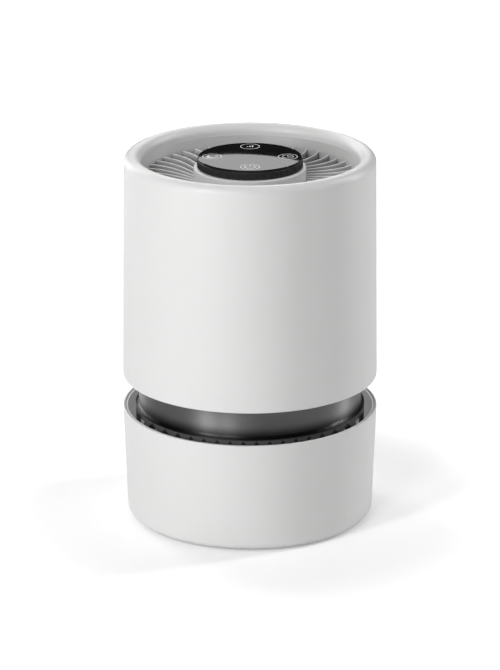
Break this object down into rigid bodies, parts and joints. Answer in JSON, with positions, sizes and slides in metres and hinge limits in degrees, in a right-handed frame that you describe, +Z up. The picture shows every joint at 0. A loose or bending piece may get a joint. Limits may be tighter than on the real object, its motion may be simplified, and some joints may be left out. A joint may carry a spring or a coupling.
{
  "type": "air purifier",
  "caption": "Round desk-top air purifier: white shell over an open intake gap and base cup, louvred top outlet and touch panel.",
  "frame": {"origin": "centre of the circle that the feet stand on, on the table surface", "axes": "+Z up along the purifier's axis, front (the power key) towards -Y"},
  "size_m": [0.171, 0.171, 0.25],
  "materials": {
    "shell_white": "satin moulded white",
    "louvre_grey": "light grey moulded",
    "neck_silver": "silver-grey satin",
    "liner_grey": "pale grey moulded",
    "ring_black": "fine matt black",
    "panel_black": "ribbed matt black",
    "glass_black": "polished black",
    "icon_white": "white print",
    "guide_clear": "milky diffuser",
    "board_green": "printed circuit board",
    "parts_dark": "electronic components",
    "cable_black": "flexible sheath",
    "chassis_grey": "mid grey moulded",
    "fan_black": "glass-filled black",
    "screw_steel": "zinc plated",
    "can_steel": "pressed steel",
    "magnet_dark": "sintered magnet",
    "bearing_steel": "polished",
    "core_steel": "laminated",
    "winding_copper": "enamelled copper wire",
    "rubber_black": "soft rubber",
    "paper_white": "pleated filter paper",
    "carbon_black": "carbon felt",
    "sleeve_white": "knitted pre-filter",
    "cap_white": "moulded end cap",
    "foam_grey": "closed-cell foam",
    "tab_blue": "woven tape"
  },
  "bodies": {
    "base": {"base_shell": "shell_white", "rubber_feet": "rubber_black", "channel_liner": "liner_grey", "liner_screws": "screw_steel", "filter_seat": "rubber_black"},
    "turn_ring": {"inlet_ring": "ring_black"},
    "housing": {"neck_tube": "neck_silver", "upper_shell": "shell_white", "shell_screws": "screw_steel", "bellmouth_plate": "chassis_grey", "stator_duct": "chassis_grey", "chassis_screws": "screw_steel", "outlet_grille": "louvre_grey", "control_bezel": "panel_black", "icon_inlays": "icon_white", "touch_glass": "glass_black", "light_guides": "guide_clear", "touch_board": "board_green", "panel_screws": "screw_steel", "main_board": "board_green", "board_components": "parts_dark", "board_screws": "screw_steel", "ribbon_cable": "cable_black", "power_inlet": "bearing_steel", "inlet_board": "board_green", "inlet_screws": "screw_steel", "power_cable": "cable_black", "motor_base": "chassis_grey", "motor_bearings": "bearing_steel", "stator_core": "core_steel", "stator_windings": "winding_copper", "motor_grommets": "rubber_black", "motor_screws": "screw_steel"},
    "rotor": {"motor_shaft": "bearing_steel", "rotor_can": "can_steel", "rotor_magnet": "magnet_dark", "impeller": "fan_black"},
    "filter": {"filter_media": "paper_white", "carbon_layer": "carbon_black", "filter_cage": "cap_white", "filter_sleeve": "sleeve_white", "filter_cap_bottom": "cap_white", "filter_cap_top": "cap_white", "filter_gasket": "foam_grey", "pull_tab": "tab_blue"}
  },
  "joints": [
    {"name": "housing_turn", "type": "hinge", "parent": "base", "child": "turn_ring", "pos_m": [0, 0, 0.06], "axis": [0, 0, 1], "range_deg": [0, 20]},
    {"name": "housing_lift", "type": "slide", "parent": "turn_ring", "child": "housing", "axis": [0, 0, 1], "range_m": [0, 0.3]},
    {"name": "filter_lift", "type": "slide", "parent": "base", "child": "filter", "axis": [0, 0, 1], "range_m": [0, 0.15]},
    {"name": "fan_spin", "type": "hinge", "parent": "housing", "child": "rotor", "pos_m": [0, 0, 0.17], "axis": [0, 0, 1], "continuous": true}
  ],
  "couplings": [
    {"joint": "filter_lift", "follows": "housing_lift", "ratio": 0.5}
  ]
}
